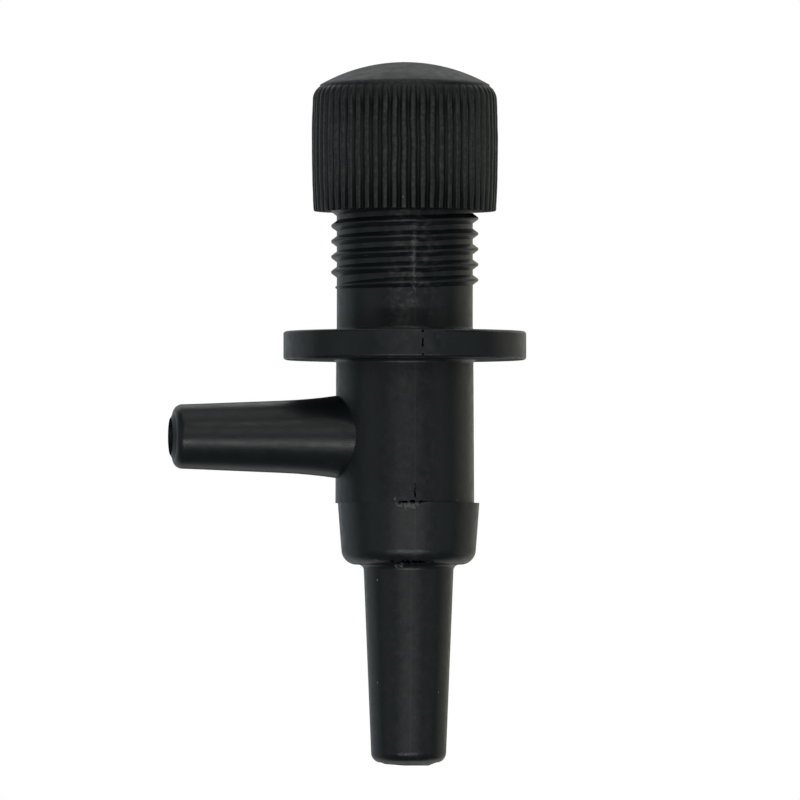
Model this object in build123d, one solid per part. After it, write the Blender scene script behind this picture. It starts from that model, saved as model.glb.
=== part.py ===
from build123d import *
import os
from math import pi, sqrt

# Air flow control valve, in millimetres. The valve's axis is Z, its origin is the centre of the
# flange's upper face, and the side nozzle points along -X. A domed and knurled screw cap turns on
# the neck and carries a stem. The needle at the stem's foot meters the air that passes between the
# bottom nozzle and the side nozzle. The cap is drawn open, a few turns above closed.

# Bore, and the walls moulded round it above and below the flange
bore_r = 3.0
neck_wall = 1.42
neck_height = 10.8
neck_mouth_chamfer = 0.3
barrel_wall = 1.46
barrel_draft = 0.05
barrel_length = 9.29

# Flange
flange_reach = 3.47
flange_thickness = 1.86
flange_edge_fillet = 0.2
flange_root_fillet = 0.25

# Cup below the mould seam: the half of the mould that forms it sits a little to one side
mould_shift = 0.25
cup_wall = 1.6
cup_draft = 0.3
cup_height = 4.0
cup_corner_fillet = 0.98
cup_root_fillet = 0.38

# Seat: a funnel, and below it the orifice that the needle closes
funnel_height = 1.0
floor_thickness = 1.15
orifice_r = 1.0
orifice_length = 3.0

# Bottom nozzle, which an airline is pushed over
bottom_bore_r = 1.3
bottom_rim_width = 0.49
bottom_tip_round = 0.65
bottom_taper = 0.49
bottom_length = 12.85

# Side nozzle, for the same airline
side_bore_r = 1.2
side_rim_width = 0.34
side_tip_round = 0.55
side_taper = 0.265
side_flare = 0.33
side_flare_length = 3.5
side_reach = 15.16
side_drop = 5.01

# Rim that stands proud round the mouth of each nozzle
rim_height = 0.2

# Screw thread on the neck, a right-hand ridge that the cap's skirt clears
thread_height = 0.35
thread_root_width = 0.62
thread_crest_width = 0.06
thread_sink = 0.05
thread_foot_gap = 2.86
thread_top_gap = 0.45
thread_lead_turns = 0.25
thread_lead_share = 0.3
thread_clearance = 0.1
thread_pitch = 1.0
turns_to_close = 4.0

# Cap
engaged_length = 3.0
ceiling_gap = 0.2
skirt_wall = 1.15
skirt_swell = 0.06
skirt_foot_inset = 0.05
skirt_mouth_chamfer = 0.25
shoulder_inset = 0.5
shoulder_height = 0.92
lip_height = 0.1
dome_rise = 1.47
crown_wall = 1.3

# Knurl: grooves with a flat floor between narrow crests
knurl_count = 60
knurl_depth = 0.2
knurl_crest_width = 0.2
knurl_floor_width = 0.22

# Boss inside the cap, and the D-shaped spigot that it holds
boss_clearance = 0.3
boss_wall = 1.1
boss_foot_height = 3.7
spigot_flat_depth = 0.4
spigot_length = 3.0
spigot_clearance = 0.02
socket_end_gap = 0.2

# Stem
collar_height = 0.8
shaft_relief = 0.75
land_clearance = 0.05
land_length = 2.2
land_edge_chamfer = 0.15
land_gap = 2.0
port_clearance = 0.34
shank_margin = 0.3
needle_length = 5.5
needle_end_r = 0.4
seat_clearance = 0.03

# O-rings
ring_section = 0.9
ring_clearance = 0.025
groove_side_clearance = 0.15

# Radii and heights of the body that follow from those sizes
neck_r = bore_r + neck_wall
flange_r = neck_r + flange_reach
flange_foot = -flange_thickness
barrel_r = bore_r + barrel_wall
seam = flange_foot - barrel_length
cup_r = bore_r + cup_wall
cup_foot_r = cup_r - cup_draft
cup_foot = seam - cup_height
seat = cup_foot + floor_thickness
bottom_tip_r = bottom_bore_r + bottom_rim_width + bottom_tip_round
bottom_root_r = bottom_tip_r + bottom_taper
bottom_tip = cup_foot - bottom_length
side_axis = flange_foot - side_drop
side_tip_r = side_bore_r + side_rim_width + side_tip_round

# Those of the cap, whose skirt is deep enough for the neck when the valve is closed
closing_travel = turns_to_close * thread_pitch
skirt_foot = neck_height - engaged_length
skirt_height = engaged_length + closing_travel + ceiling_gap
skirt_bore_r = neck_r + thread_height + thread_clearance
skirt_r = skirt_bore_r + skirt_wall
dome_r = skirt_r - shoulder_inset
dome_foot = skirt_height + shoulder_height + lip_height
dome_top = dome_foot + dome_rise
dome_radius = (dome_r**2 + dome_rise**2) / (2 * dome_rise)
dome_centre = dome_top - dome_radius
boss_r = bore_r - boss_clearance
boss_foot = skirt_foot + boss_foot_height
spigot_r = boss_r - boss_wall

# Those of the stem: its lower land stays above the side nozzle's bore when the valve is closed,
# and its needle then fills the orifice
land_r = bore_r - land_clearance
lower_land_foot = side_axis + side_bore_r + port_clearance + closing_travel
upper_land_foot = lower_land_foot + land_length + land_gap
shaft_r = land_r - shaft_relief
ring_outer_r = bore_r - ring_clearance
groove_r = ring_outer_r - ring_section - ring_clearance
groove_width = ring_section + 2 * groove_side_clearance
shank_r = orifice_r + shank_margin
needle_slope = (shank_r - needle_end_r) / needle_length
needle_in_seat = (orifice_r - seat_clearance - needle_end_r) / needle_slope
needle_end = seat - needle_in_seat + closing_travel

from_foot = (Align.CENTER, Align.CENTER, Align.MIN)


def turned(outline, fillets=()):
    """A solid turned about Z from a closed outline of radius and height.

    Each fillet is a corner's radius and height, and the radius that rounds it.
    """
    face = make_face(outline)
    for corner, size in fillets:
        face = fillet(face.vertices().sort_by_distance(corner)[0], size)
    return revolve(Plane.XZ * face, Axis.Z)


def upper_moulding():
    """What the two sliding halves of the mould form: the neck, the flange and the barrel."""
    outline = Polyline(
        (0, neck_height),
        (neck_r - neck_mouth_chamfer, neck_height),
        (neck_r, neck_height - neck_mouth_chamfer),
        (neck_r, 0),
        (flange_r, 0),
        (flange_r, flange_foot),
        (barrel_r, flange_foot),
        (barrel_r + barrel_draft, seam),
        (0, seam),
        close=True,
    )
    fillets = [
        ((neck_r, 0), flange_root_fillet),
        ((flange_r, 0), flange_edge_fillet),
        ((flange_r, flange_foot), flange_edge_fillet),
        ((barrel_r, flange_foot), flange_root_fillet),
    ]
    return turned(outline, fillets)


def lower_moulding():
    """What the lower half of the mould forms: the cup and the bottom nozzle."""
    round_start = (bottom_tip_r, bottom_tip + bottom_tip_round)
    rim_edge = (bottom_tip_r - bottom_tip_round, bottom_tip)
    outline = [
        Polyline(
            (0, seam),
            (cup_r, seam),
            (cup_foot_r, cup_foot),
            (bottom_root_r, cup_foot),
            round_start,
        ),
        RadiusArc(round_start, rim_edge, bottom_tip_round),
        Polyline(rim_edge, (bottom_bore_r, bottom_tip - rim_height), (0, bottom_tip - rim_height)),
        Line((0, bottom_tip - rim_height), (0, seam)),
    ]
    ledge = cup_foot_r - bottom_root_r
    fit = min(1, ledge / (cup_corner_fillet + cup_root_fillet))
    fillets = [
        ((cup_foot_r, cup_foot), cup_corner_fillet * fit),
        ((bottom_root_r, cup_foot), cup_root_fillet * fit),
    ]
    return Pos(X=mould_shift) * turned(outline, fillets)


def side_nozzle():
    """The side nozzle: it tapers outwards, and flares where it leaves the barrel.

    It is turned about Z with its root at the top, then laid along -X.
    """
    root = -bore_r
    flare_end = (side_tip_r + side_taper + side_flare, -barrel_r)
    flare_start = (side_tip_r + side_taper, -barrel_r - side_flare_length)
    round_start = (side_tip_r, side_tip_round - side_reach)
    rim_edge = (side_tip_r - side_tip_round, -side_reach)
    flank = Vector(*flare_start) - Vector(*round_start)
    outline = [
        Polyline((0, root), (flare_end[0], root), flare_end),
        TangentArc(flare_start, flare_end, tangent=flank),
        Line(flare_start, round_start),
        RadiusArc(round_start, rim_edge, side_tip_round),
        Polyline(rim_edge, (side_bore_r, -side_reach - rim_height), (0, -side_reach - rim_height)),
        Line((0, -side_reach - rim_height), (0, root)),
    ]
    return Pos(Z=side_axis) * Rot(Y=90) * turned(outline)


def air_passages():
    """The bore, the funnel and the orifice, and the ways out through both nozzles."""
    passage = seat - orifice_length
    outline = Polyline(
        (0, neck_height),
        (bore_r + neck_mouth_chamfer, neck_height),
        (bore_r, neck_height - neck_mouth_chamfer),
        (bore_r, seat + funnel_height),
        (orifice_r, seat),
        (orifice_r, passage),
        (bottom_bore_r, passage),
        (bottom_bore_r, bottom_tip - rim_height),
        (0, bottom_tip - rim_height),
        close=True,
    )
    side = Pos(Z=-side_reach - rim_height) * Cylinder(
        side_bore_r, side_reach + rim_height, align=from_foot
    )
    return turned(outline) + Pos(Z=side_axis) * Rot(Y=90) * side


def ridge_section(path, end, share):
    """The thread ridge's section at the start (0) or the end (1) of a path.

    It is drawn at a share of its full height and width, and sunk into the neck.
    """
    half_crest = thread_crest_width / 2
    half_root = thread_root_width / 2
    half_sunk = half_root + (half_root - half_crest) * thread_sink / thread_height
    outline = Polyline(
        (-thread_sink, -half_sunk * share),
        (thread_height * share, -half_crest * share),
        (thread_height * share, half_crest * share),
        (-thread_sink, half_sunk * share),
        close=True,
    )
    origin = path @ end
    across = Plane(origin=origin, x_dir=(origin.X, origin.Y, 0), z_dir=path % end)
    return across * make_face(outline)


def neck_thread():
    """The thread's ridge: a lead that grows from the side nozzle's side, then even turns."""
    lead_climb = thread_lead_turns * thread_pitch
    lead_top = thread_foot_gap + lead_climb
    climb = neck_height - thread_top_gap - lead_top
    lead_path = Helix(thread_pitch, lead_climb, neck_r, center=(0, 0, thread_foot_gap))
    even_path = Helix(thread_pitch, climb, neck_r, center=(0, 0, lead_top))
    lead_ends = [ridge_section(lead_path, 0, thread_lead_share), ridge_section(lead_path, 1, 1)]
    lead = sweep(lead_ends, lead_path, multisection=True, is_frenet=True)
    even_turns = sweep(ridge_section(even_path, 0, 1), even_path, is_frenet=True)
    return Rot(Z=180) * (lead + Rot(Z=360 * thread_lead_turns) * even_turns)


def valve_body():
    """The body, one moulding: neck, flange, barrel, cup and two nozzles."""
    mouldings = upper_moulding() + neck_thread() + lower_moulding() + side_nozzle()
    return mouldings - air_passages()


def knurl_groove():
    """One groove of the knurl, which cuts up from the skirt's foot and runs out in the shoulder.

    It is as deep again outside the skirt, so that it clears the skirt's swell.
    """
    floor_r = skirt_r - knurl_depth
    outer_r = skirt_r + knurl_depth
    crest_pitch = 2 * pi * skirt_r / knurl_count
    half_floor = knurl_floor_width / 2
    half_outer = crest_pitch - knurl_crest_width - half_floor
    outline = Polyline(
        (floor_r, -half_floor),
        (outer_r, -half_outer),
        (outer_r, half_outer),
        (floor_r, half_floor),
        close=True,
    )
    return extrude(make_face(outline), dome_foot)


def d_bar(clearance, length):
    """A round bar with one flat, as the spigot has, grown all round by the clearance."""
    radius = spigot_r + clearance
    kept = Pos(X=-spigot_flat_depth) * Rectangle(2 * radius, 2 * radius)
    return extrude(Circle(radius) & kept, length)


def control_knob():
    """The screw cap: a domed crown, a barrelled and knurled skirt, and the boss for the stem."""
    skirt_edge = (skirt_r - skirt_foot_inset, 0)
    skirt_middle = (skirt_r + skirt_swell, skirt_height / 2)
    shoulder_foot = (skirt_r, skirt_height)
    shoulder_top = (dome_r, skirt_height + shoulder_height)
    shoulder_radius = (shoulder_inset**2 + shoulder_height**2) / (2 * shoulder_inset)
    lip = (dome_r, dome_foot)
    outline = [
        ThreePointArc(skirt_edge, skirt_middle, shoulder_foot),
        RadiusArc(shoulder_foot, shoulder_top, -shoulder_radius),
        Line(shoulder_top, lip),
        RadiusArc(lip, (0, dome_top), -dome_radius),
        Polyline((0, dome_top), (0, 0), skirt_edge),
    ]
    cap = turned(outline) - PolarLocations(0, knurl_count) * knurl_groove()

    cavity = Cylinder(skirt_bore_r, dome_top, align=from_foot)
    cavity &= Pos(Z=dome_centre) * Sphere(dome_radius - crown_wall)
    mouth = Cone(
        skirt_bore_r + skirt_mouth_chamfer, skirt_bore_r, skirt_mouth_chamfer, align=from_foot
    )
    boss = Cylinder(boss_r, dome_top - crown_wall - boss_foot_height, align=from_foot)
    socket = d_bar(spigot_clearance, spigot_length + socket_end_gap)
    cap = cap - cavity - mouth + Pos(Z=boss_foot_height) * (boss - socket)
    return Pos(Z=skirt_foot) * cap


def stem_land(foot):
    """A land of the stem, which guides it in the bore and has a groove for an O-ring."""
    middle = foot + land_length / 2
    groove = (middle - groove_width / 2, middle + groove_width / 2)
    top = foot + land_length
    outline = Polyline(
        (0, foot),
        (land_r - land_edge_chamfer, foot),
        (land_r, foot + land_edge_chamfer),
        (land_r, groove[0]),
        (groove_r, groove[0]),
        (groove_r, groove[1]),
        (land_r, groove[1]),
        (land_r, top - land_edge_chamfer),
        (land_r - land_edge_chamfer, top),
        (0, top),
        close=True,
    )
    return turned(outline)


def valve_stem():
    """The stem: spigot and collar, shaft, two lands, and the shank that ends in the needle."""
    outline = Polyline(
        (0, boss_foot),
        (boss_r, boss_foot),
        (boss_r, boss_foot - collar_height),
        (shaft_r, boss_foot - collar_height),
        (shaft_r, upper_land_foot + land_length),
        (groove_r, upper_land_foot + land_length),
        (groove_r, lower_land_foot),
        (shank_r, lower_land_foot),
        (shank_r, needle_end + needle_length),
        (needle_end_r, needle_end),
        (0, needle_end),
        close=True,
    )
    spigot = Pos(Z=boss_foot) * d_bar(0, spigot_length)
    return turned(outline) + stem_land(upper_land_foot) + stem_land(lower_land_foot) + spigot


def o_ring(land_foot):
    """The rubber ring in the groove of the land that starts at land_foot."""
    ring = Torus(ring_outer_r - ring_section / 2, ring_section / 2)
    return Pos(Z=land_foot + land_length / 2) * ring


pieces = {
    "valve_body": valve_body(),
    "control_knob": control_knob(),
    "valve_stem": valve_stem(),
    "upper_o_ring": o_ring(upper_land_foot),
    "lower_o_ring": o_ring(lower_land_foot),
}

os.makedirs("parts", exist_ok=True)
for name, piece in pieces.items():
    export_step(piece, f"parts/{name}.step")
    print(f"{name}: {piece.volume:.1f} mm3")
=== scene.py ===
# %% [markdown]
# # A small air flow control valve
# The valve is a black plastic moulding with a screw cap. Its shape at rest comes from the packed
# model, called the frame here, which already has the neck's thread and the cap's 60 grooves. This
# notebook gives every piece its finish, and adds the fine shapes that the frame leaves out: wear
# on the thread's crests and on the cap's ribs, and the thread inside the cap. The marks that the
# mould left are drawn in the material, and with them painted shade in the cracks and the cap's
# grooves and painted highlights on the cap's crests and lip.

# %% Load the frame
from math import asin, cos, pi, radians, sin, sqrt, tau

import bmesh
import bpy
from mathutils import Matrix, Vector


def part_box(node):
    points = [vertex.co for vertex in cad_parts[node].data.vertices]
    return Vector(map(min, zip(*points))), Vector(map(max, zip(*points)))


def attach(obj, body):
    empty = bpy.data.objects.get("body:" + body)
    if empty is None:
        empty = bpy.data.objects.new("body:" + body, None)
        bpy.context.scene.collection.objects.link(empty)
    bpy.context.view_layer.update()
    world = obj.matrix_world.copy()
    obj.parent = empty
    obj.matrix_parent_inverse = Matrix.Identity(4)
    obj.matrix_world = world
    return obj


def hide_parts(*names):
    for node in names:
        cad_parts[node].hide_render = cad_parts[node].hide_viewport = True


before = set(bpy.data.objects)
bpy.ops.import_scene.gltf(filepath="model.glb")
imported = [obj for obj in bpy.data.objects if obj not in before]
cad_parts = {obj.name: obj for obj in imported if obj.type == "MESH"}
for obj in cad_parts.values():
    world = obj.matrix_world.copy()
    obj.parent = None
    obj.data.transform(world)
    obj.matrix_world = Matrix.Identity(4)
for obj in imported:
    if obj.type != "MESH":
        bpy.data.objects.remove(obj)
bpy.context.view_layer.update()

# %% [markdown]
# ## Sizes
# Blender works in metres here, and the valve is drawn in millimetres, so one factor turns the one
# into the other. What can be measured on the frame is measured, and the rest is a named size.

# %% Sizes measured on the frame
MM = 0.001

body_low, body_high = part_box("valve_body")
knob_low, knob_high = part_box("control_knob")
FLANGE_R = body_high.x / MM
FOOT = body_low.z / MM
SKIRT_FOOT = knob_low.z / MM
DOME_TOP = knob_high.z / MM
SKIRT_WIDEST = knob_high.x / MM
print(f"flange radius {FLANGE_R:.2f} mm, skirt radius {SKIRT_WIDEST:.2f} mm, foot {FOOT:.2f} mm")

# %% Sizes read in the photograph, in millimetres if the thread's pitch is 1.0, which is assumed
NECK_R = 4.42
PITCH = 1.0
SKIRT_HEIGHT = 7.2
SHOULDER_INSET = 0.5
SHOULDER_HEIGHT = 0.92
DOME_RISE = 1.47

# %% Sizes inside the cap, which the photograph doesn't show and the frame guesses
CROWN_WALL = 1.3
SKIRT_BORE_R = 4.87
BOSS_R = 2.7
BOSS_FOOT = 11.5
SOCKET_R = 1.63
SOCKET_TOP = 14.7

# %% [markdown]
# ## Two helpers for node trees
# A hex colour is how a screen stores it, and Blender wants light in linear steps, so one function
# turns the first into the second. The other adds a node with its settings and its links. An
# input can be a number, a colour or another node, whose first output is then used.

# %% Colour and node helpers
def linear(code):
    """The linear red, green, blue and alpha of a colour such as #1c2122."""
    shares = [int(code[i:i + 2], 16) / 255 for i in (1, 3, 5)]
    return [s / 12.92 if s <= 0.04045 else ((s + 0.055) / 1.055) ** 2.4 for s in shares] + [1.0]


def add(tree, kind, settings=None, inputs=None):
    """A new node of this kind. Inputs are named or numbered, and hold values, sockets or nodes."""
    node = tree.nodes.new(kind)
    for name, value in (settings or {}).items():
        setattr(node, name, value)
    for name, value in (inputs or {}).items():
        if isinstance(value, bpy.types.Node):
            value = value.outputs[0]
        if isinstance(value, bpy.types.NodeSocket):
            tree.links.new(value, node.inputs[name])
        else:
            node.inputs[name].default_value = value
    return node


# %% [markdown]
# ## Black moulded plastic
# The body is one moulding in black polypropylene. Carbon black leaves almost no colour of its
# own, so what the eye sees is mostly gloss: a satin skin that takes soft reflections, broken up
# by the fine grain of a spark-eroded mould. The cap is moulded in a rougher, matt grade. Both
# carry specks of pale dust. Each has its own marks, which a function adds: where they are pale
# the skin is scuffed dull, and on the cap they are partly a painted highlight. Where they are
# dark the colour is painted shade, black and without gloss, in the body's cracks and the cap's
# grooves, and a bump sinks them a little.

# %% The plastic
CLOUD_MM = 1.6
SHEEN_MM = 0.6
GRAIN_MM = 0.09
RIPPLE_MM = 0.9
RIPPLE_HEIGHT = 0.012
# How far a bump sinks the dark marks, which are painted shade.
DARK_MARK_DEPTH = 0.05
SCUFF_ROUGHNESS = 0.7
DUST_CELL_MM = 1.0
# Pale grey for scuffs, also used as a painted highlight on the cap.
SCUFF_AND_HIGHLIGHT_GREY = "#5c605d"
DUST_GREY = "#a9ada8"


def scale_of(size_mm):
    """A texture's scale on Object coordinates, for a pattern whose cells have this size."""
    return 1 / (size_mm * MM)


def plastic(name, blacks, roughness, grain_height, marks):
    """Moulded black plastic with dust, and the pale and dark marks that a function adds."""
    material = bpy.data.materials.new(name)
    material.use_nodes = True
    tree = material.node_tree
    shader = tree.nodes["Principled BSDF"]
    shader.inputs["IOR"].default_value = 1.49
    place = add(tree, "ShaderNodeTexCoord").outputs["Object"]

    cloud = add(tree, "ShaderNodeTexNoise", None, {"Vector": place, "Scale": scale_of(CLOUD_MM)})
    tone = add(tree, "ShaderNodeMix", {"data_type": "RGBA"}, {
        0: cloud, 6: linear(blacks[0]), 7: linear(blacks[1]),
    }).outputs[2]
    sheen = add(tree, "ShaderNodeTexNoise", None, {"Vector": place, "Scale": scale_of(SHEEN_MM)})
    gloss = add(tree, "ShaderNodeMapRange", None, {
        "Value": sheen, "From Min": 0.3, "From Max": 0.7,
        "To Min": roughness[0], "To Max": roughness[1],
    })

    cell = add(tree, "ShaderNodeTexVoronoi", None, {
        "Vector": place, "Scale": scale_of(DUST_CELL_MM),
    })
    chance = add(tree, "ShaderNodeSeparateColor", None, {0: cell.outputs["Color"]})
    width = add(tree, "ShaderNodeMapRange", None, {
        "Value": chance, "From Min": 0.7, "From Max": 1.0, "To Min": 0.0, "To Max": 0.08,
    })
    nearness = add(tree, "ShaderNodeMath", {"operation": "SUBTRACT"}, {
        0: width, 1: cell.outputs["Distance"],
    })
    dust = add(tree, "ShaderNodeMapRange", None, {
        "Value": nearness, "From Min": 0.0, "From Max": 0.03, "To Min": 0.0, "To Max": 0.7,
    })
    tone = add(tree, "ShaderNodeMix", {"data_type": "RGBA"}, {
        0: dust, 6: tone, 7: linear(DUST_GREY),
    }).outputs[2]

    # Pale marks make the skin grey and dull: scuffs, and on the cap also painted highlights. Dark
    # marks are painted shade: black, with no gloss, and sunk a little by a bump.
    pale, dark = marks(tree, place)
    tone = add(tree, "ShaderNodeMix", {"data_type": "RGBA"}, {
        0: pale, 6: tone, 7: linear(SCUFF_AND_HIGHLIGHT_GREY),
    }).outputs[2]
    tone = add(tree, "ShaderNodeMix", {"data_type": "RGBA"}, {
        0: dark, 6: tone, 7: linear("#000000"),
    }).outputs[2]
    gloss = add(tree, "ShaderNodeMix", None, {0: pale, 2: gloss, 3: SCUFF_ROUGHNESS})
    shine = add(tree, "ShaderNodeMapRange", None, {"Value": dark, "To Min": 0.5, "To Max": 0.0})

    grain = add(tree, "ShaderNodeBump", None, {
        "Strength": 1.0, "Distance": grain_height * MM,
        "Height": add(tree, "ShaderNodeTexNoise", None, {
            "Vector": place, "Scale": scale_of(GRAIN_MM), "Detail": 1.0,
        }),
    })
    ripple = add(tree, "ShaderNodeBump", None, {
        "Strength": 1.0, "Distance": RIPPLE_HEIGHT * MM, "Normal": grain,
        "Height": add(tree, "ShaderNodeTexNoise", None, {
            "Vector": place, "Scale": scale_of(RIPPLE_MM), "Detail": 1.0,
        }),
    })
    sunk_dark_marks = add(tree, "ShaderNodeBump", {"invert": True}, {
        "Strength": 1.0, "Distance": DARK_MARK_DEPTH * MM, "Height": dark, "Normal": ripple,
    })
    for socket, value in (
        ("Base Color", tone), ("Roughness", gloss.outputs[0]),
        ("Specular IOR Level", shine.outputs[0]), ("Normal", sunk_dark_marks.outputs[0]),
    ):
        tree.links.new(value, shader.inputs[socket])
    return material


# %% [markdown]
# ## Where the body and the cap are marked
# The mould's two halves met at X = 0. Front and back, the neck is scuffed there and a fine line
# runs down. On the front only, where the lower part of the mould met the halves, the skin tore and
# left ragged flecks. The tears are painted shade, black where the cracks lie in shade, and so is a
# dark band at the bottom nozzle's root. Each of these is an oval that noise makes ragged, given by
# its centre in X and Z and its half width and half height, in millimetres.

# %% Marks on the front
# Painted shade: black ovals in the cracks and in a band at the bottom nozzle's root.
CRACK_AND_CORNER_SHADE = (
    (-0.3, -11.12, 1.1, 0.09),
    (0.0, -10.6, 0.05, 0.6),
    (0.0, -0.95, 0.06, 0.9),
    (-0.1, -15.0, 1.5, 0.1),
)
FLECKS = (
    (-1.3, -10.95, 0.12, 0.14),
    (-0.5, -11.38, 0.8, 0.16),
    (-0.8, -15.25, 0.3, 0.14),
    (-2.3, -14.9, 0.12, 0.1),
    (-0.1, 4.6, 0.16, 2.2),
)
SHADE_RAG_MM = 0.3
FLECK_RAG_MM = 0.18
RAGGEDNESS = 5.0
OVAL_EDGE = (2.9, 3.4)


def ovals(tree, place, spots, ragged_mm, share):
    """How far into any of these ovals a point on the front lies, from 0 to a given share."""
    axes = add(tree, "ShaderNodeSeparateXYZ", None, {0: place})
    front = add(tree, "ShaderNodeMath", {"operation": "LESS_THAN"}, {0: axes.outputs[1], 1: 0.0})
    rag = add(tree, "ShaderNodeTexNoise", None, {
        "Vector": place, "Scale": scale_of(ragged_mm), "Detail": 3.0,
    })
    total = None
    for x, z, half_width, half_height in spots:
        sideways = add(tree, "ShaderNodeMath", {"operation": "MULTIPLY_ADD"}, {
            0: axes.outputs[0], 1: 1 / (half_width * MM), 2: -x / half_width,
        })
        upwards = add(tree, "ShaderNodeMath", {"operation": "MULTIPLY_ADD"}, {
            0: axes.outputs[2], 1: 1 / (half_height * MM), 2: -z / half_height,
        })
        reach = add(tree, "ShaderNodeVectorMath", {"operation": "LENGTH"}, {
            0: add(tree, "ShaderNodeCombineXYZ", None, {0: sideways, 1: upwards}),
        })
        ragged = add(tree, "ShaderNodeMath", {"operation": "MULTIPLY_ADD"}, {
            0: rag, 1: RAGGEDNESS, 2: reach.outputs["Value"],
        })
        inside = add(tree, "ShaderNodeMapRange", {"interpolation_type": "SMOOTHSTEP"}, {
            "Value": ragged, "From Min": OVAL_EDGE[0], "From Max": OVAL_EDGE[1],
            "To Min": share, "To Max": 0.0,
        })
        if total is None:
            total = inside
        else:
            total = add(tree, "ShaderNodeMath", {"operation": "MAXIMUM"}, {0: total, 1: inside})
    return add(tree, "ShaderNodeMath", {"operation": "MULTIPLY"}, {0: total, 1: front})


def body_marks(tree, place):
    """Scuffs on the neck beside the parting line, the fine line itself, flecks, and tears painted
    black as shade.
    """
    axes = add(tree, "ShaderNodeSeparateXYZ", None, {0: place})
    off_line = add(tree, "ShaderNodeMath", {"operation": "ABSOLUTE"}, {0: axes})
    near = add(tree, "ShaderNodeMapRange", {"interpolation_type": "SMOOTHSTEP"}, {
        "Value": off_line, "From Min": 0.5 * MM, "From Max": 2.6 * MM, "To Min": 1.0,
        "To Max": 0.0,
    })
    on_neck = add(tree, "ShaderNodeMapRange", {"interpolation_type": "SMOOTHSTEP"}, {
        "Value": axes.outputs[2], "From Min": -2.0 * MM, "From Max": 3.4 * MM,
        "To Min": 0.1, "To Max": 0.5,
    })
    patches = add(tree, "ShaderNodeMapRange", {"interpolation_type": "SMOOTHSTEP"}, {
        "Value": add(tree, "ShaderNodeTexNoise", None, {
            "Vector": place, "Scale": scale_of(0.5), "Detail": 5.0, "Roughness": 0.65,
        }),
        "From Min": 0.46, "From Max": 0.72,
    })
    scuffs = add(tree, "ShaderNodeMath", {"operation": "MULTIPLY"}, {
        0: near, 1: add(tree, "ShaderNodeMath", {"operation": "MULTIPLY"}, {0: on_neck, 1: patches}),
    })
    line = add(tree, "ShaderNodeMapRange", {"interpolation_type": "SMOOTHSTEP"}, {
        "Value": off_line, "From Min": 0.0, "From Max": 0.07 * MM, "To Min": 0.12, "To Max": 0.0,
    })
    flecks = ovals(tree, place, FLECKS, FLECK_RAG_MM, 0.8)
    pale = add(tree, "ShaderNodeMath", {"operation": "MAXIMUM"}, {
        0: add(tree, "ShaderNodeMath", {"operation": "MAXIMUM"}, {0: scuffs, 1: line}), 1: flecks,
    })
    # The dark share is painted shade, black in the tears and at the bottom nozzle's root.
    return pale, ovals(tree, place, CRACK_AND_CORNER_SHADE, SHADE_RAG_MM, 1.0)


def cap_marks(tree, place):
    """Pale crests on the ribs, part wear and part painted highlight, a painted highlight on the lip
    under the dome, and painted shade in the grooves.
    """
    axes = add(tree, "ShaderNodeSeparateXYZ", None, {0: place})
    radius = add(tree, "ShaderNodeVectorMath", {"operation": "LENGTH"}, {
        0: add(tree, "ShaderNodeVectorMath", {"operation": "MULTIPLY"}, {0: place, 1: (1, 1, 0)}),
    })
    # Pale crests: partly wear, partly a painted highlight.
    crest = add(tree, "ShaderNodeMapRange", {"interpolation_type": "SMOOTHSTEP"}, {
        "Value": radius.outputs["Value"], "From Min": (SKIRT_WIDEST - 0.17) * MM,
        "From Max": (SKIRT_WIDEST - 0.04) * MM,
    })
    above_lip = add(tree, "ShaderNodeMath", {"operation": "SUBTRACT"}, {
        0: axes.outputs[2], 1: (DOME_TOP - DOME_RISE) * MM,
    })
    # A painted highlight: a pale line along the lip under the dome.
    lip = add(tree, "ShaderNodeMapRange", None, {
        "Value": add(tree, "ShaderNodeMath", {"operation": "ABSOLUTE"}, {0: above_lip}),
        "From Min": 0.05 * MM, "From Max": 0.12 * MM, "To Min": 1.0, "To Max": 0.0,
    })
    # The crests' wear and the lip's painted highlight together.
    worn = add(tree, "ShaderNodeMath", {"operation": "MAXIMUM"}, {0: crest, 1: lip})
    rub_and_highlight_patches = add(tree, "ShaderNodeMapRange", {"interpolation_type": "SMOOTHSTEP"}, {
        "Value": add(tree, "ShaderNodeTexNoise", None, {
            "Vector": place, "Scale": scale_of(0.25), "Detail": 4.0, "Roughness": 0.8,
        }),
        "From Min": 0.45, "From Max": 0.66, "To Min": 0.0, "To Max": 0.4,
    })
    pale = add(tree, "ShaderNodeMath", {"operation": "MULTIPLY"}, {0: worn, 1: rub_and_highlight_patches})
    # Painted shade: the grooves darkened, fully from 1.4 mm below the lip down, fading out 0.6 mm
    # below it.
    low = add(tree, "ShaderNodeMapRange", None, {
        "Value": above_lip, "From Min": -1.4 * MM, "From Max": -0.6 * MM,
        "To Min": 0.75, "To Max": 0.0,
    })
    groove_shade = add(tree, "ShaderNodeMapRange", {"interpolation_type": "SMOOTHSTEP"}, {
        "Value": radius.outputs["Value"], "From Min": (SKIRT_WIDEST - 0.28) * MM,
        "From Max": (SKIRT_WIDEST - 0.14) * MM, "To Min": 1.0, "To Max": 0.0,
    })
    return pale, add(tree, "ShaderNodeMath", {"operation": "MULTIPLY"}, {0: low, 1: groove_shade})


body_plastic = plastic(
    "moulded_black_polypropylene", ("#13181a", "#1a2021"), (0.32, 0.42), 0.006, body_marks
)
cap_plastic = plastic(
    "moulded_matt_black_cap", ("#15191a", "#1c2020"), (0.42, 0.54), 0.015, cap_marks
)
print("materials:", body_plastic.name, cap_plastic.name)

# %% [markdown]
# ## Acetal and rubber
# The stem is hidden in use. It is natural acetal, a milky, slightly translucent plastic with faint
# rings from turning. The O-rings are nitrile rubber, a dull black that takes a faint bloom.

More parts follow.
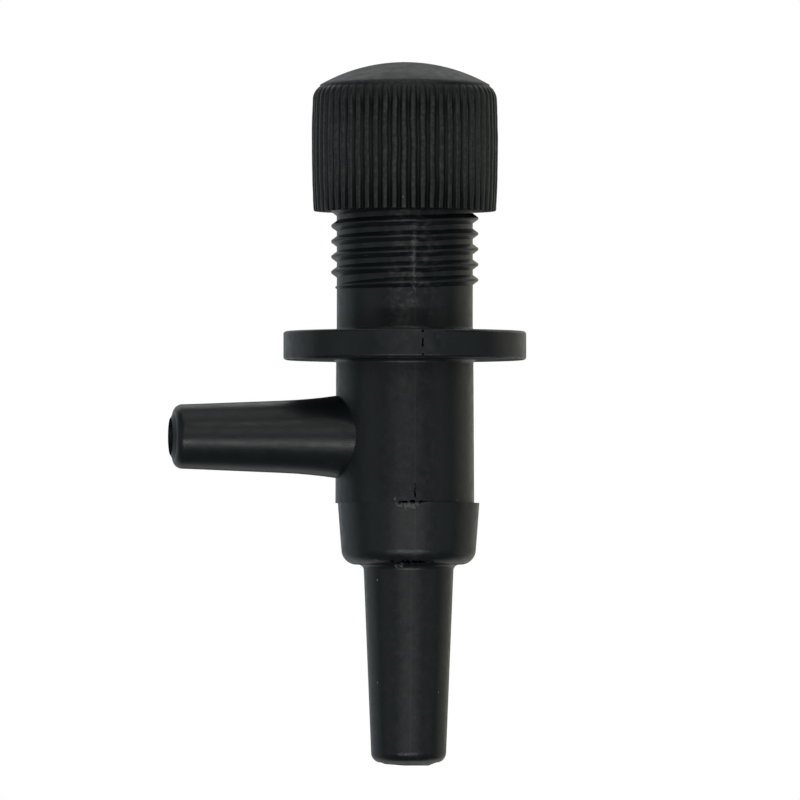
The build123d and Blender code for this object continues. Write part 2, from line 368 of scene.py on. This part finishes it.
# %% The other materials
def turned_acetal():
    """Milky plastic with turning rings 0.2 mm apart along Z."""
    material = bpy.data.materials.new("turned_natural_acetal")
    material.use_nodes = True
    tree = material.node_tree
    shader = tree.nodes["Principled BSDF"]
    shader.inputs["IOR"].default_value = 1.48
    shader.inputs["Roughness"].default_value = 0.38
    shader.inputs["Subsurface Weight"].default_value = 0.15
    shader.inputs["Subsurface Scale"].default_value = 0.4 * MM
    place = add(tree, "ShaderNodeTexCoord").outputs["Object"]
    cloud = add(tree, "ShaderNodeTexNoise", None, {"Vector": place, "Scale": scale_of(1.2)})
    tone = add(tree, "ShaderNodeMix", {"data_type": "RGBA"}, {
        0: cloud, 6: linear("#d8d6cc"), 7: linear("#e4e2da"),
    })
    rings = add(tree, "ShaderNodeTexWave", {"bands_direction": "Z"}, {
        "Vector": place, "Scale": scale_of(0.2) / 20, "Distortion": 0.6,
    })
    bump = add(tree, "ShaderNodeBump", None, {"Distance": 0.004 * MM, "Height": rings})
    tree.links.new(tone.outputs[2], shader.inputs["Base Color"])
    tree.links.new(bump.outputs[0], shader.inputs["Normal"])
    return material


def nitrile_rubber():
    """Dull black rubber whose bloom makes it unevenly grey."""
    material = bpy.data.materials.new("nitrile_rubber")
    material.use_nodes = True
    tree = material.node_tree
    shader = tree.nodes["Principled BSDF"]
    shader.inputs["IOR"].default_value = 1.52
    place = add(tree, "ShaderNodeTexCoord").outputs["Object"]
    bloom = add(tree, "ShaderNodeTexNoise", None, {"Vector": place, "Scale": scale_of(0.5)})
    tone = add(tree, "ShaderNodeMix", {"data_type": "RGBA"}, {
        0: bloom, 6: linear("#121212"), 7: linear("#232422"),
    })
    dull = add(tree, "ShaderNodeMapRange", None, {"Value": bloom, "To Min": 0.5, "To Max": 0.75})
    tree.links.new(tone.outputs[2], shader.inputs["Base Color"])
    tree.links.new(dull.outputs[0], shader.inputs["Roughness"])
    return material


acetal = turned_acetal()
rubber = nitrile_rubber()
for node, material in (
    ("valve_body", body_plastic), ("control_knob", cap_plastic), ("valve_stem", acetal),
    ("upper_o_ring", rubber), ("lower_o_ring", rubber),
):
    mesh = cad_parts[node].data
    mesh.materials.clear()
    mesh.materials.append(material)
print("materials:", [m.name for m in bpy.data.materials])

# %% [markdown]
# ## From Geometry Nodes to a plain mesh
# A node tree draws what repeats or follows a rule. It can't be posed or exported as it stands,
# so its result is baked: Blender evaluates the object, and a plain mesh is made from that.

# %% Helpers for Geometry Nodes
def new_tree(name, sizes):
    """A geometry tree with a Geometry input, these named sizes, and a Geometry output."""
    tree = bpy.data.node_groups.new(name, "GeometryNodeTree")
    tree.interface.new_socket("Geometry", in_out="OUTPUT", socket_type="NodeSocketGeometry")
    tree.interface.new_socket("Geometry", in_out="INPUT", socket_type="NodeSocketGeometry")
    for size in sizes:
        tree.interface.new_socket(size, in_out="INPUT", socket_type="NodeSocketFloat")
    tree.interface.new_socket("Material", in_out="INPUT", socket_type="NodeSocketMaterial")
    return tree, add(tree, "NodeGroupInput"), add(tree, "NodeGroupOutput")


def finish_tree(tree, given, out, shape):
    """Ends a tree: instances become real, and the finish is set."""
    real = add(tree, "GeometryNodeRealizeInstances", None, {0: shape})
    painted = add(tree, "GeometryNodeSetMaterial", None, {
        "Geometry": real, "Material": given.outputs["Material"],
    })
    tree.links.new(painted.outputs[0], out.inputs[0])


def bake(name, mesh, tree, values, material):
    """The plain mesh object that this tree makes of a mesh."""
    source = bpy.data.objects.new(name + "_source", mesh)
    bpy.context.scene.collection.objects.link(source)
    modifier = source.modifiers.new("shape", "NODES")
    modifier.node_group = tree
    for item in tree.interface.items_tree:
        if item.in_out == "INPUT" and item.name in values:
            modifier[item.identifier] = float(values[item.name])
        elif item.in_out == "INPUT" and item.name == "Material":
            modifier[item.identifier] = material
    result = bpy.data.meshes.new_from_object(
        source.evaluated_get(bpy.context.evaluated_depsgraph_get())
    )
    bpy.data.objects.remove(source)
    welded = bmesh.new()
    welded.from_mesh(result)
    bmesh.ops.remove_doubles(welded, verts=welded.verts, dist=0.0001 * MM)
    bmesh.ops.recalc_face_normals(welded, faces=welded.faces)
    welded.to_mesh(result)
    welded.free()
    result.shade_smooth()
    piece = bpy.data.objects.new(name, result)
    bpy.context.scene.collection.objects.link(piece)
    print(f"{name}: {len(result.polygons)} faces")
    return piece


# %% [markdown]
# ## The screw thread
# The neck has a right-hand thread with a V ridge, 1 mm from turn to turn. It follows a rule, so a
# tree draws it: a section is swept along a screw line that the tree works out. It fades in and
# out over part of a turn. The mould's two halves don't quite agree, so right of the parting line
# each turn dips by a hair. The same tree draws the thread inside the cap, half a pitch above the
# neck's, so that its ridge runs in the neck's groove.

# %% The ridge's tree
STEPS_A_TURN = 120


def ridge_tree():
    """Sweeps the given section, drawn outwards along X, up a right-hand screw line."""
    tree, given, out = new_tree("screw_ridge", (
        "Root Radius", "Height At X", "Pitch", "Turns", "Start Turn", "Fade Turns", "Dip", "Lumps",
    ))
    size = given.outputs
    climb = add(tree, "ShaderNodeMath", {"operation": "MULTIPLY"}, {
        0: size["Turns"], 1: size["Pitch"],
    })
    line = add(tree, "GeometryNodeCurveSpiral", None, {
        "Resolution": STEPS_A_TURN, "Rotations": size["Turns"], "Height": climb, "Reverse": True,
        "Start Radius": size["Root Radius"], "End Radius": size["Root Radius"],
    })
    upright = add(tree, "GeometryNodeSetCurveNormal", {"mode": "Z_UP"}, {"Curve": line})
    share = add(tree, "GeometryNodeSplineParameter").outputs["Factor"]
    centred = add(tree, "ShaderNodeMath", {"operation": "SUBTRACT"}, {0: share, 1: 0.5})
    off_middle = add(tree, "ShaderNodeMath", {"operation": "ABSOLUTE"}, {0: centred})
    to_end = add(tree, "ShaderNodeMath", {"operation": "SUBTRACT"}, {0: 0.5, 1: off_middle})
    turns_left = add(tree, "ShaderNodeMath", {"operation": "MULTIPLY"}, {
        0: to_end, 1: size["Turns"],
    })
    fade = add(tree, "ShaderNodeMapRange", {"interpolation_type": "SMOOTHSTEP"}, {
        "Value": turns_left, "From Min": 0.0, "From Max": size["Fade Turns"], "To Min": 0.05,
    })
    ridge = add(tree, "GeometryNodeCurveToMesh", None, {
        "Curve": upright, "Profile Curve": add(tree, "GeometryNodeMeshToCurve", None, {0: given}),
        "Scale": fade, "Fill Caps": True,
    })

    start_angle = add(tree, "ShaderNodeMath", {"operation": "MULTIPLY"}, {
        0: size["Start Turn"], 1: tau,
    })
    start_height = add(tree, "ShaderNodeMath", {"operation": "MULTIPLY_ADD"}, {
        0: size["Start Turn"], 1: size["Pitch"], 2: size["Height At X"],
    })
    placed = add(tree, "GeometryNodeTransform", None, {
        "Geometry": ridge, "Rotation": add(tree, "ShaderNodeCombineXYZ", None, {2: start_angle}),
        "Translation": add(tree, "ShaderNodeCombineXYZ", None, {2: start_height}),
    })

    place = add(tree, "GeometryNodeInputPosition")
    across = add(tree, "ShaderNodeSeparateXYZ", None, {0: place})
    begins = add(tree, "ShaderNodeMapRange", {"interpolation_type": "SMOOTHSTEP"}, {
        "Value": across, "From Min": -0.05 * MM, "From Max": 0.3 * MM,
    })
    ends = add(tree, "ShaderNodeMapRange", {"interpolation_type": "SMOOTHSTEP"}, {
        "Value": across, "From Min": 0.5 * MM, "From Max": 3.0 * MM, "To Min": 1.0, "To Max": 0.0,
    })
    near = add(tree, "ShaderNodeMath", {"operation": "MULTIPLY"}, {0: begins, 1: ends})
    dip = add(tree, "ShaderNodeMath", {"operation": "MULTIPLY"}, {0: near, 1: size["Dip"]})
    dipped = add(tree, "GeometryNodeSetPosition", None, {
        "Geometry": placed, "Offset": add(tree, "ShaderNodeCombineXYZ", None, {2: dip}),
    })

    grain = add(tree, "ShaderNodeTexNoise", None, {"Vector": place, "Scale": scale_of(0.7)})
    even = add(tree, "ShaderNodeVectorMath", {"operation": "SUBTRACT"}, {
        0: grain.outputs["Color"], 1: (0.5, 0.5, 0.5),
    })
    lumps = add(tree, "ShaderNodeVectorMath", {"operation": "SCALE"}, {
        0: even, "Scale": size["Lumps"],
    })
    worn = add(tree, "GeometryNodeSetPosition", None, {"Geometry": dipped, "Offset": lumps})
    finish_tree(tree, given, out, worn)
    return tree


def closed_outline(name, points):
    """A mesh of edges only, round these points in millimetres."""
    mesh = bpy.data.meshes.new(name)
    count = len(points)
    edges = [(i, (i + 1) % count) for i in range(count)]
    mesh.from_pydata([(x * MM, y * MM, 0) for x, y in points], edges, [])
    return mesh


def both_flanks(half):
    """The whole section of a ridge, from the half above its middle."""
    return list(half) + [(out, -height) for out, height in reversed(half)]


# %% The thread on the neck
NECK_SECTION = (
    (-0.04, 0.36), (0.0, 0.34), (0.06, 0.29), (0.3, 0.11), (0.345, 0.08), (0.36, 0.03),
)
THREAD_HEIGHT_AT_X = 3.36
THREAD_TURNS = 7.6
THREAD_START = -0.66

screw = ridge_tree()
thread = bake(
    "neck_thread", closed_outline("neck_ridge_section", both_flanks(NECK_SECTION)), screw,
    {
        "Root Radius": NECK_R * MM, "Height At X": THREAD_HEIGHT_AT_X * MM, "Pitch": PITCH * MM,
        "Turns": THREAD_TURNS, "Start Turn": THREAD_START, "Fade Turns": 0.42,
        "Dip": -0.07 * MM, "Lumps": 0.03 * MM,
    },
    body_plastic,
)
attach(thread, "body")

# %% [markdown]
# ## The knurled cap
# This cap replaces the frame's, whose grooves are all alike. It is turned from its outline, then a
# tree presses 60 grooves into the skirt, as many and as deep as the frame's but with narrower flat
# floors. Wear makes the ribs between them unequal: each is a little higher or lower than the next,
# and wavers as it climbs. They run out in the shoulder below a thin lip. The attribute named knurl
# says how deep the grooves are at each height.

# %% The cap's outline, turned
KNURL_COUNT = 60
COLUMNS_A_GROOVE = 12
SKIRT_FOOT_R = SKIRT_WIDEST - 0.11
SKIRT_TOP_R = SKIRT_WIDEST - 0.06
SKIRT_TOP = SKIRT_FOOT + SKIRT_HEIGHT
SHOULDER_R = (SHOULDER_INSET ** 2 + SHOULDER_HEIGHT ** 2) / (2 * SHOULDER_INSET)
SHOULDER_ANGLE = asin(SHOULDER_HEIGHT / SHOULDER_R)
DOME_FOOT_R = SKIRT_TOP_R - SHOULDER_INSET
DOME_RADIUS = (DOME_FOOT_R ** 2 + DOME_RISE ** 2) / (2 * DOME_RISE)
DOME_CENTRE = DOME_TOP - DOME_RADIUS


def steps(count):
    """Shares from 0 to 1, in this many equal steps."""
    return [i / count for i in range(count + 1)]


def cap_outline():
    """Radius, height and depth of knurl from the middle of the socket round to the dome's top."""
    ceiling = DOME_RADIUS - CROWN_WALL
    points = [(0, SOCKET_TOP, 0), (SOCKET_R, SOCKET_TOP, 0), (SOCKET_R, BOSS_FOOT, 0)]
    points += [(BOSS_R, BOSS_FOOT, 0)]
    for share in steps(6):
        r = BOSS_R + (SKIRT_BORE_R - BOSS_R) * share
        points.append((r, DOME_CENTRE + sqrt(ceiling ** 2 - r ** 2), 0))
    points += [(SKIRT_BORE_R, SKIRT_FOOT + 0.25, 0), (SKIRT_BORE_R + 0.25, SKIRT_FOOT, 0)]
    points += [(SKIRT_FOOT_R - 0.3, SKIRT_FOOT, 0.0), (SKIRT_FOOT_R - 0.1, SKIRT_FOOT, 0.6)]
    points += [(SKIRT_FOOT_R - 0.03, SKIRT_FOOT + 0.03, 0.85)]
    for share in steps(24):
        low = (1 - share) * (1 - 2 * share)
        middle = 4 * share * (1 - share)
        high = share * (2 * share - 1)
        r = SKIRT_FOOT_R * low + SKIRT_WIDEST * middle + SKIRT_TOP_R * high
        points.append((r, SKIRT_FOOT + 0.1 + (SKIRT_HEIGHT - 0.1) * share, 1))
    for share in steps(8)[1:]:
        turn = SHOULDER_ANGLE * share
        r = SKIRT_TOP_R - SHOULDER_R * (1 - cos(turn))
        points.append((r, SKIRT_TOP + SHOULDER_R * sin(turn), (1 - share) ** 0.7))
    for share in steps(14):
        r = DOME_FOOT_R * (1 - share)
        points.append((r, DOME_CENTRE + sqrt(DOME_RADIUS ** 2 - r ** 2), 0))
    return points


def turned_mesh(name, outline, columns):
    """A mesh turned about Z from radius, height and knurl, whose two ends lie on the axis."""
    mesh = bpy.data.meshes.new(name)
    made = bmesh.new()
    depth = made.verts.layers.float.new("knurl")
    rings = []
    for r, z, knurl in outline:
        ring = []
        for i in range(columns if r > 0 else 1):
            angle = tau * i / columns
            vertex = made.verts.new((r * cos(angle) * MM, r * sin(angle) * MM, z * MM))
            vertex[depth] = knurl
            ring.append(vertex)
        rings.append(ring)
    for inner, outer in zip(rings, rings[1:]):
        for i in range(columns):
            k = (i + 1) % columns
            near, far = len(inner), len(outer)
            corners = (inner[i % near], inner[k % near], outer[k % far], outer[i % far])
            made.faces.new(list(dict.fromkeys(corners)))
    made.to_mesh(mesh)
    made.free()
    return mesh


cap_mesh = turned_mesh("turned_cap", cap_outline(), KNURL_COUNT * COLUMNS_A_GROOVE)
print(f"cap before its grooves: {len(cap_mesh.polygons)} faces")


# %% The knurl's tree
def knurl_tree():
    """Presses evenly spaced upright grooves into a turned mesh, where it says so."""
    tree, given, out = new_tree("knurl", (
        "Count", "Depth", "Floor Share", "Crest Share", "Waver", "Wear",
    ))
    size = given.outputs
    place = add(tree, "GeometryNodeInputPosition")
    axes = add(tree, "ShaderNodeSeparateXYZ", None, {0: place})
    angle = add(tree, "ShaderNodeMath", {"operation": "ARCTAN2"}, {
        0: axes.outputs[1], 1: axes.outputs[0],
    })
    turn = add(tree, "ShaderNodeMath", {"operation": "DIVIDE"}, {0: angle, 1: tau})
    count = add(tree, "ShaderNodeMath", {"operation": "MULTIPLY"}, {0: turn, 1: size["Count"]})
    wave = add(tree, "ShaderNodeTexNoise", None, {"Vector": place, "Scale": scale_of(1.6)})
    centred = add(tree, "ShaderNodeMath", {"operation": "SUBTRACT"}, {0: wave, 1: 0.5})
    waver = add(tree, "ShaderNodeMath", {"operation": "MULTIPLY"}, {0: centred, 1: size["Waver"]})
    phase = add(tree, "ShaderNodeMath", {"operation": "ADD"}, {0: count, 1: waver})
    from_floor = add(tree, "ShaderNodeMath", {"operation": "PINGPONG"}, {0: phase, 1: 0.5})
    doubled = add(tree, "ShaderNodeMath", {"operation": "MULTIPLY"}, {0: from_floor, 1: 2.0})
    crest_edge = add(tree, "ShaderNodeMath", {"operation": "SUBTRACT"}, {
        0: 1.0, 1: size["Crest Share"],
    })
    height = add(tree, "ShaderNodeMapRange", {"interpolation_type": "SMOOTHSTEP"}, {
        "Value": doubled, "From Min": size["Floor Share"], "From Max": crest_edge,
    })

    rib = add(tree, "ShaderNodeMath", {"operation": "FLOOR"}, {0: count})
    rib_chance = add(tree, "ShaderNodeTexWhiteNoise", {"noise_dimensions": "1D"}, {"W": rib})
    patches = add(tree, "ShaderNodeTexNoise", None, {"Vector": place, "Scale": scale_of(0.8)})
    worn = add(tree, "ShaderNodeMath", {"operation": "MULTIPLY_ADD"}, {
        0: rib_chance.outputs["Value"], 1: 0.5, 2: patches,
    })
    lost = add(tree, "ShaderNodeMath", {"operation": "MULTIPLY"}, {0: worn, 1: size["Wear"]})
    kept = add(tree, "ShaderNodeMath", {"operation": "SUBTRACT"}, {0: 1.0, 1: lost})
    rib_height = add(tree, "ShaderNodeMath", {"operation": "MULTIPLY"}, {0: height, 1: kept})
    sunk = add(tree, "ShaderNodeMath", {"operation": "SUBTRACT"}, {0: rib_height, 1: 1.0})

    knurl = add(tree, "GeometryNodeInputNamedAttribute", None, {"Name": "knurl"})
    local = add(tree, "ShaderNodeMath", {"operation": "MULTIPLY"}, {0: sunk, 1: knurl})
    inward = add(tree, "ShaderNodeMath", {"operation": "MULTIPLY"}, {0: local, 1: size["Depth"]})
    flat = add(tree, "ShaderNodeVectorMath", {"operation": "MULTIPLY"}, {0: place, 1: (1, 1, 0)})
    outward = add(tree, "ShaderNodeVectorMath", {"operation": "NORMALIZE"}, {0: flat})
    move = add(tree, "ShaderNodeVectorMath", {"operation": "SCALE"}, {0: outward, "Scale": inward})
    pressed = add(tree, "GeometryNodeSetPosition", None, {
        "Geometry": size["Geometry"], "Offset": move,
    })
    finish_tree(tree, given, out, pressed)
    return tree


cap = bake(
    "knurled_cap", cap_mesh, knurl_tree(),
    {
        "Count": KNURL_COUNT, "Depth": 0.2 * MM, "Floor Share": 0.2, "Crest Share": 0.34,
        "Waver": 0.3, "Wear": 0.25,
    },
    cap_plastic,
)
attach(cap, "knob")
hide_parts("control_knob")

# %% The thread inside the cap
CAP_SECTION = ((0.04, 0.3), (0.0, 0.28), (-0.28, 0.06), (-0.31, 0.02))
cap_thread = bake(
    "cap_thread", closed_outline("cap_ridge_section", both_flanks(CAP_SECTION)), screw,
    {
        "Root Radius": SKIRT_BORE_R * MM, "Height At X": (THREAD_HEIGHT_AT_X + PITCH / 2) * MM,
        "Pitch": PITCH * MM, "Turns": 5.6, "Start Turn": 4.8, "Fade Turns": 0.3,
        "Dip": 0.0, "Lumps": 0.01 * MM,
    },
    cap_plastic,
)
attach(cap_thread, "knob")

# %% [markdown]
# ## The studio
# The valve stands on a plain pale floor. The camera has a very long lens, far off and a touch
# below the valve's middle, so that upright edges stay parallel. Each light is a flat panel, set by
# the direction it shines from, seen from the camera, and by its brightness as a reflection shows it.

# %% The camera
PIXELS_PER_MM = 15.4
IMAGE_PIXELS = 800
AXIS_COLUMN = 404.8
FLANGE_ROW = 331.3
CAMERA_AZIMUTH = radians(-8.5)
CAMERA_ELEVATION = radians(-1.17)
CAMERA_DISTANCE = 1150

right = Vector((cos(CAMERA_AZIMUTH), sin(CAMERA_AZIMUTH), 0))
back = Vector((
    sin(CAMERA_AZIMUTH) * cos(CAMERA_ELEVATION),
    -cos(CAMERA_AZIMUTH) * cos(CAMERA_ELEVATION),
    sin(CAMERA_ELEVATION),
))
middle = right * ((IMAGE_PIXELS / 2 - AXIS_COLUMN) / PIXELS_PER_MM)
middle.z = (FLANGE_ROW - IMAGE_PIXELS / 2) / PIXELS_PER_MM

lens = bpy.data.cameras.new("long_lens")
lens.sensor_width = 36.0
lens.lens = lens.sensor_width * CAMERA_DISTANCE / (IMAGE_PIXELS / PIXELS_PER_MM)
lens.clip_start = 0.05
lens.clip_end = 10.0
camera = bpy.data.objects.new("camera", lens)
camera.location = (middle + back * CAMERA_DISTANCE) * MM
camera.rotation_mode = "QUATERNION"
camera.rotation_quaternion = (-back).to_track_quat("-Z", "Y")
bpy.context.scene.collection.objects.link(camera)
bpy.context.scene.camera = camera
print(f"camera {camera.location.z / MM:.1f} mm high, lens {lens.lens:.0f} mm")

# %% The floor
FLOOR_REACH = 400
floor_mesh = bpy.data.meshes.new("floor")
floor_mesh.from_pydata(
    [(x * FLOOR_REACH * MM, y * FLOOR_REACH * MM, FOOT * MM)
     for x, y in ((-1, -1), (1, -1), (1, 1), (-1, 1))],
    [], [(0, 1, 2, 3)],
)
floor = bpy.data.objects.new("floor", floor_mesh)
floor.visible_glossy = False
floor.visible_shadow = False
bpy.context.scene.collection.objects.link(floor)

paper = bpy.data.materials.new("pale_studio_floor")
paper.use_nodes = True
paper_tree = paper.node_tree
paper_tree.nodes["Principled BSDF"].inputs["Base Color"].default_value = linear("#dcdcda")
paper_tree.nodes["Principled BSDF"].inputs["Roughness"].default_value = 0.9
paper_tree.nodes["Principled BSDF"].inputs["Emission Color"].default_value = linear("#ffffff")
seen = add(paper_tree, "ShaderNodeLightPath").outputs["Is Camera Ray"]
lifted = add(paper_tree, "ShaderNodeMath", {"operation": "MULTIPLY"}, {0: seen, 1: 0.8})
paper_tree.links.new(
    lifted.outputs[0], paper_tree.nodes["Principled BSDF"].inputs["Emission Strength"]
)
floor_mesh.materials.append(paper)

# %% The light panels
def panel(name, azimuth, elevation, width, height, distance, brightness, colour="#ffffff"):
    """A panel that faces the valve, placed by angles from the camera, with its size in degrees."""
    turn = CAMERA_AZIMUTH + radians(azimuth)
    rise = radians(elevation)
    away = Vector((sin(turn) * cos(rise), -cos(turn) * cos(rise), sin(rise)))
    light = bpy.data.lights.new(name, "AREA")
    light.shape = "RECTANGLE"
    light.size = 2 * distance * sin(radians(width) / 2)
    light.size_y = 2 * distance * sin(radians(height) / 2)
    light.energy = brightness * pi * light.size * light.size_y
    light.color = linear(colour)[:3]
    lamp = bpy.data.objects.new(name, light)
    lamp.location = away * distance
    lamp.rotation_mode = "QUATERNION"
    lamp.rotation_quaternion = away.to_track_quat("Z", "Y")
    lamp.visible_camera = False
    bpy.context.scene.collection.objects.link(lamp)
    print(f"{name}: {light.energy:.3f} W")


panel("key_panel", 14, 43, 2, 2, 0.7, 90.0, "#fffaf2")
panel("front_softbox", 2, 17, 46, 12, 0.5, 1.6)
panel("front_top", 2, 38, 50, 14, 0.5, 0.15)
panel("low_strip", 0, -23, 60, 3, 0.5, 17.0)
panel("floor_bounce", 180, -48, 110, 34, 0.5, 0.55)
panel("overhead", 0, 80, 60, 40, 0.5, 0.75)
panel("back_top", 180, 45, 90, 30, 0.5, 1.1)
panel("left_side", -60, 5, 40, 60, 0.5, 0.28)
panel("right_side", 60, 5, 40, 60, 0.5, 0.25)
panel("left_rim", -115, 0, 40, 70, 0.5, 0.45, "#eef8ff")
panel("right_rim", 115, 0, 40, 70, 0.5, 0.42, "#fffae8")
panel("left_back", -155, 0, 40, 70, 0.5, 0.5, "#f4faff")
panel("right_back", 155, 0, 40, 70, 0.5, 0.6, "#fffaec")

# %% The surroundings
world = bpy.data.worlds.new("studio_world")
world.use_nodes = True
bpy.context.scene.world = world
sky = world.node_tree
shown = add(sky, "ShaderNodeMix", {"data_type": "RGBA"}, {
    0: add(sky, "ShaderNodeLightPath").outputs["Is Camera Ray"],
    6: linear("#3a4243"), 7: linear("#ffffff"),
})
sky.links.new(shown.outputs[2], sky.nodes["Background"].inputs["Color"])
bpy.context.scene.view_settings.view_transform = "Standard"
